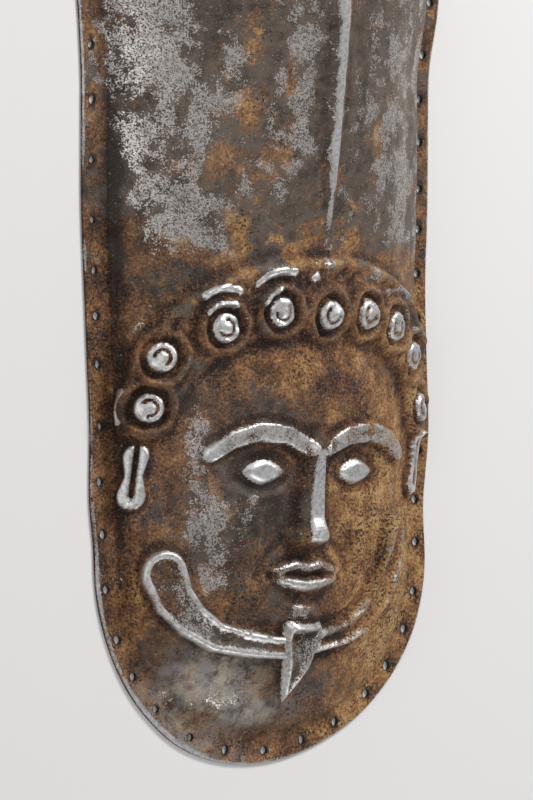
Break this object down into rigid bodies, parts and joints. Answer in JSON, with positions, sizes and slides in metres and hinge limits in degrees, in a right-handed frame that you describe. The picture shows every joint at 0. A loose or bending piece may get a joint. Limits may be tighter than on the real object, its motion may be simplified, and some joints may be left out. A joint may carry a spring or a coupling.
{
  "type": "horse head armour chanfron",
  "caption": "Raised iron chanfron for a horse's face with a pierced rim, a medial keel and an embossed mask at the nose.",
  "frame": {"origin": "centre of the footprint of the plate lying on its rim, on the plane of the rim's underside", "axes": "+Y from the nose tip to the poll, +Z out of the horse's face, +X to the right seen from the front"},
  "size_m": [0.2216, 0.565, 0.06],
  "materials": {
    "iron": "worn bright on the high places, mottled and rusted in the hollows"
  },
  "bodies": {
    "root": {"chanfron_plate": "iron"}
  },
  "joints": []
}
